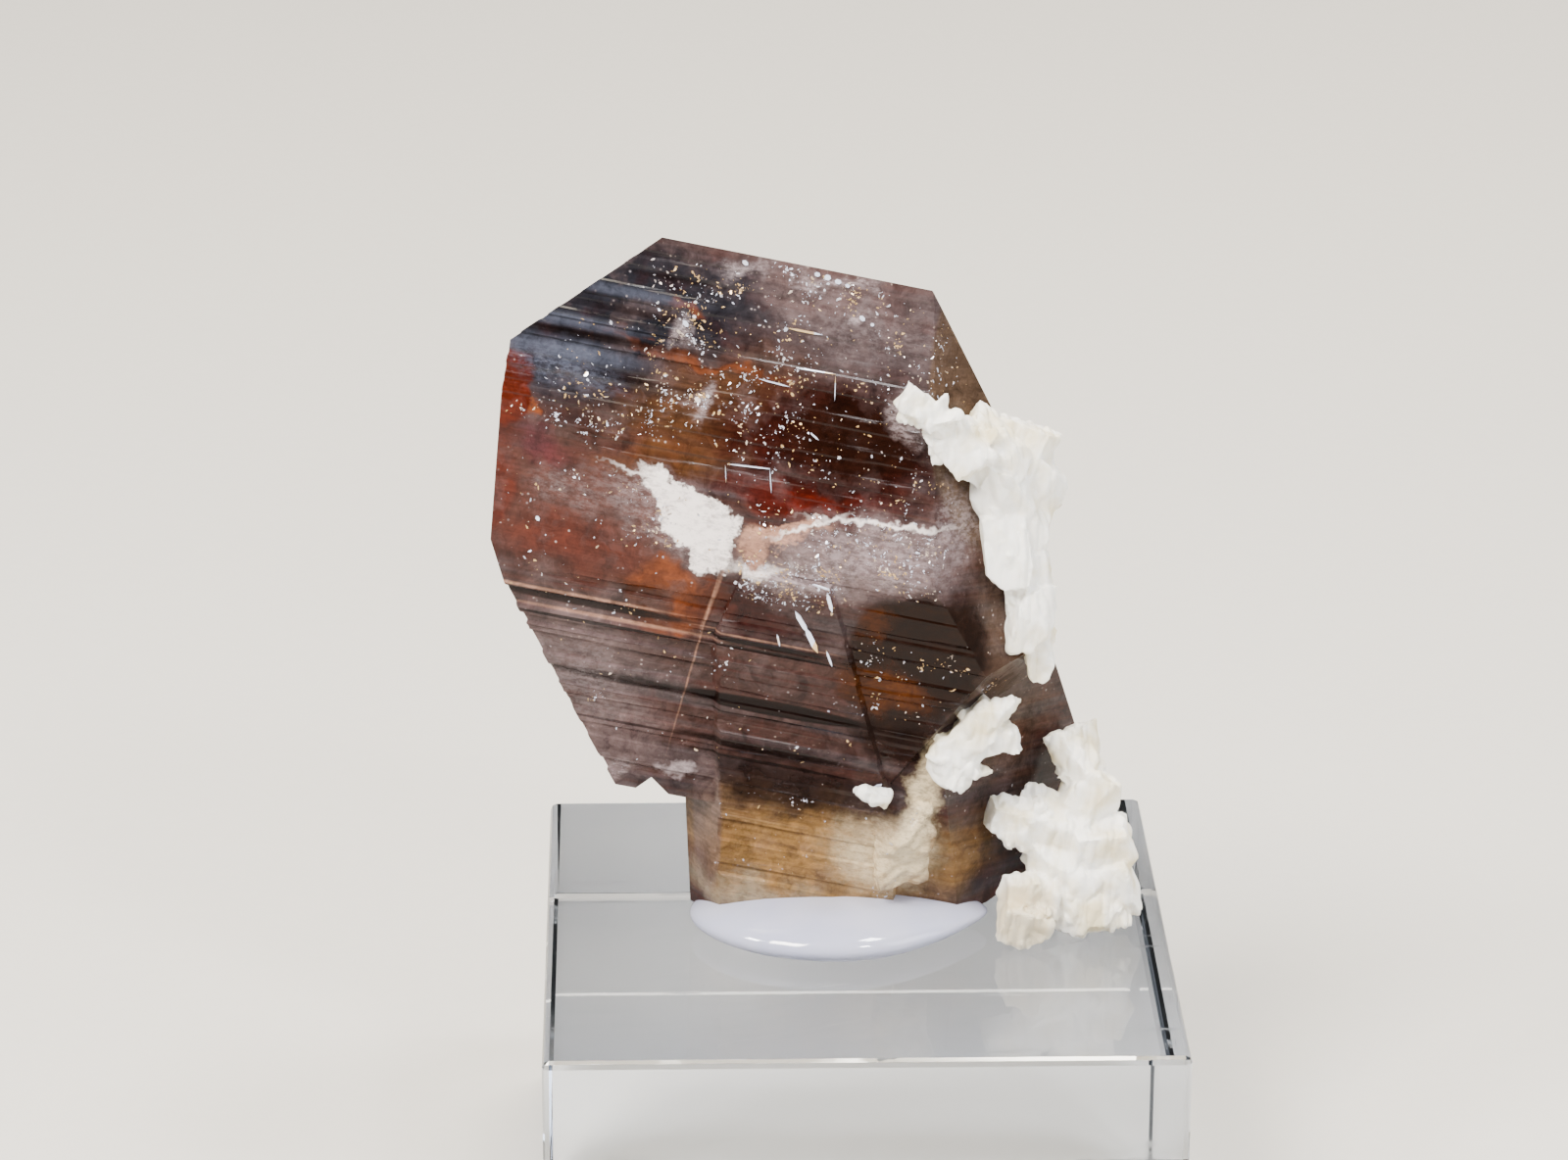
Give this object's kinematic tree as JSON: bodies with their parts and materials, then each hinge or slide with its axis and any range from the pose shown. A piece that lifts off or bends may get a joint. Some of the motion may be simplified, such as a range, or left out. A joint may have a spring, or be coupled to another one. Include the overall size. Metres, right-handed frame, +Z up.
{
  "type": "ferroaxinite crystal specimen on display block",
  "caption": "Brown wedge-shaped ferroaxinite crystals with white feldspar, held by clear gel upright on a square clear acrylic display block.",
  "frame": {"origin": "centre of the display block's flat underside", "axes": "+X to the right along the block's front edge, +Y from the striated front faces to the back, +Z up"},
  "size_m": [0.0344, 0.032, 0.0536],
  "materials": {
    "clear_acrylic": "polished clear acrylic with fine scuffs",
    "milky_gel": "milky translucent gel, glossy",
    "brown_axinite": "translucent clove-brown crystal, glassy, striated",
    "white_feldspar": "white bladed feldspar, pearly to dull"
  },
  "bodies": {
    "root": {"display_block": "clear_acrylic", "mounting_gel": "milky_gel", "axinite_crystals": "brown_axinite", "feldspar_upper_cluster": "white_feldspar", "feldspar_lower_cluster": "white_feldspar", "feldspar_wedge": "white_feldspar", "feldspar_chip": "white_feldspar"}
  },
  "joints": []
}
